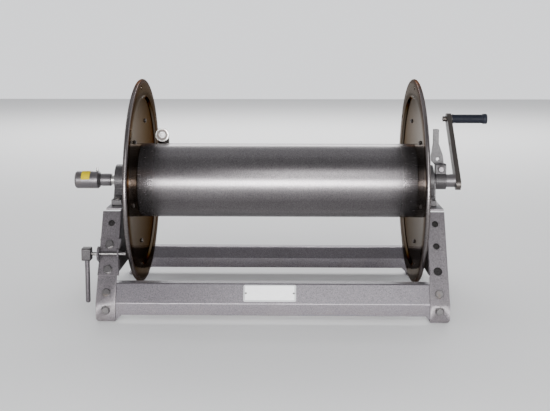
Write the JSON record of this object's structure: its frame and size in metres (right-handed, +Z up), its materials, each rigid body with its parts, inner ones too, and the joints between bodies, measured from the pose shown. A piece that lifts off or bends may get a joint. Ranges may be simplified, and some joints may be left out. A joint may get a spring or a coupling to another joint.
{
  "type": "fire hose reel",
  "caption": "Manual-rewind hose reel: long drum between large discs on a bent-sheet floor stand, with inlet swivel, lock pin, drag brake and side crank.",
  "frame": {"origin": "on the floor under the middle of the drum, midway between the front and rear leg faces and under the drum axis", "axes": "+X along the drum axis towards the crank, +Y from the front rail to the rear rail, +Z up"},
  "size_m": [1.246, 0.5968, 0.6444],
  "materials": {
    "frame_paint": "metallic grey powder coat",
    "rail_paint": "metallic grey powder coat",
    "drum_paint": "metallic grey powder coat, glossy",
    "disc_paint": "dark glossy metallic coat",
    "zinc_steel": "zinc plated",
    "dark_steel": "dark oxide",
    "cast_iron": "painted casting",
    "nameplate_aluminium": "brushed plate",
    "grip_rubber": "ribbed soft rubber",
    "swivel_steel": "grey painted steel"
  },
  "bodies": {
    "stand": {"left_end_frame": "frame_paint", "right_end_frame": "frame_paint", "front_rail": "rail_paint", "rear_rail": "rail_paint", "rail_bolt_front_left_upper": "zinc_steel", "rail_bolt_front_left_lower": "zinc_steel", "rail_bolt_front_right_upper": "zinc_steel", "rail_bolt_front_right_lower": "zinc_steel", "rail_bolt_rear_left_upper": "zinc_steel", "rail_bolt_rear_left_lower": "zinc_steel", "rail_bolt_rear_right_upper": "zinc_steel", "rail_bolt_rear_right_lower": "zinc_steel", "nameplate": "nameplate_aluminium", "left_bearing_housing": "cast_iron", "left_bearing_insert": "zinc_steel", "right_bearing_housing": "cast_iron", "right_bearing_insert": "zinc_steel", "left_bearing_bolt_front": "zinc_steel", "left_bearing_bolt_rear": "zinc_steel", "right_bearing_bolt_front": "zinc_steel", "right_bearing_bolt_rear": "zinc_steel", "pin_bracket": "frame_paint", "pin_bracket_bolt_upper": "zinc_steel", "pin_bracket_bolt_lower": "zinc_steel", "brake_stay": "frame_paint", "brake_collar": "cast_iron", "brake_screw": "zinc_steel"},
    "drum": {"drum_barrel": "drum_paint", "left_disc": "disc_paint", "left_hub_plate": "disc_paint", "left_disc_bolt_1": "zinc_steel", "left_disc_bolt_2": "zinc_steel", "left_disc_bolt_3": "zinc_steel", "left_disc_bolt_4": "zinc_steel", "left_disc_bolt_5": "zinc_steel", "left_disc_bolt_6": "zinc_steel", "right_disc": "disc_paint", "right_hub_plate": "disc_paint", "right_disc_bolt_1": "zinc_steel", "right_disc_bolt_2": "zinc_steel", "right_disc_bolt_3": "zinc_steel", "right_disc_bolt_4": "zinc_steel", "right_disc_bolt_5": "zinc_steel", "right_disc_bolt_6": "zinc_steel", "inlet_axle": "zinc_steel", "crank_axle": "zinc_steel", "outlet_riser": "dark_steel", "outlet_bushing": "zinc_steel", "inlet_collar": "swivel_steel", "crank_hub": "zinc_steel", "crank_arm": "dark_steel", "grip_spindle": "zinc_steel", "grip_washer": "zinc_steel"},
    "swivel": {"swivel_body": "swivel_steel", "grease_nipple": "zinc_steel"},
    "pin": {"lock_pin": "zinc_steel"},
    "pin_handle": {"pin_hub": "cast_iron", "pin_handle": "frame_paint"},
    "brake": {"brake_lever": "frame_paint"},
    "grip": {"crank_grip": "grip_rubber"}
  },
  "joints": [
    {"name": "drum_spin", "type": "hinge", "parent": "stand", "child": "drum", "pos_m": [0, 0, 0.346], "axis": [1, 0, 0], "continuous": true},
    {"name": "grip_spin", "type": "hinge", "parent": "drum", "child": "grip", "pos_m": [0.594, 0.16794, 0.51394], "axis": [1, 0, 0], "continuous": true},
    {"name": "swivel_spin", "type": "hinge", "parent": "drum", "child": "swivel", "pos_m": [-0.565, 0, 0.346], "axis": [1, 0, 0], "continuous": true},
    {"name": "lock_pin_slide", "type": "slide", "parent": "stand", "child": "pin", "axis": [1, 0, 0], "range_m": [0, 0.016]},
    {"name": "pin_handle_swing", "type": "hinge", "parent": "pin", "child": "pin_handle", "pos_m": [-0.519, -0.21828, 0.17546], "axis": [1, 0, 0], "range_deg": [-60, 60]},
    {"name": "brake_lever_turn", "type": "hinge", "parent": "stand", "child": "brake", "pos_m": [0.4785, 0.0174, 0.3813], "axis": [0, 1, 0], "range_deg": [-14, 8]}
  ]
}
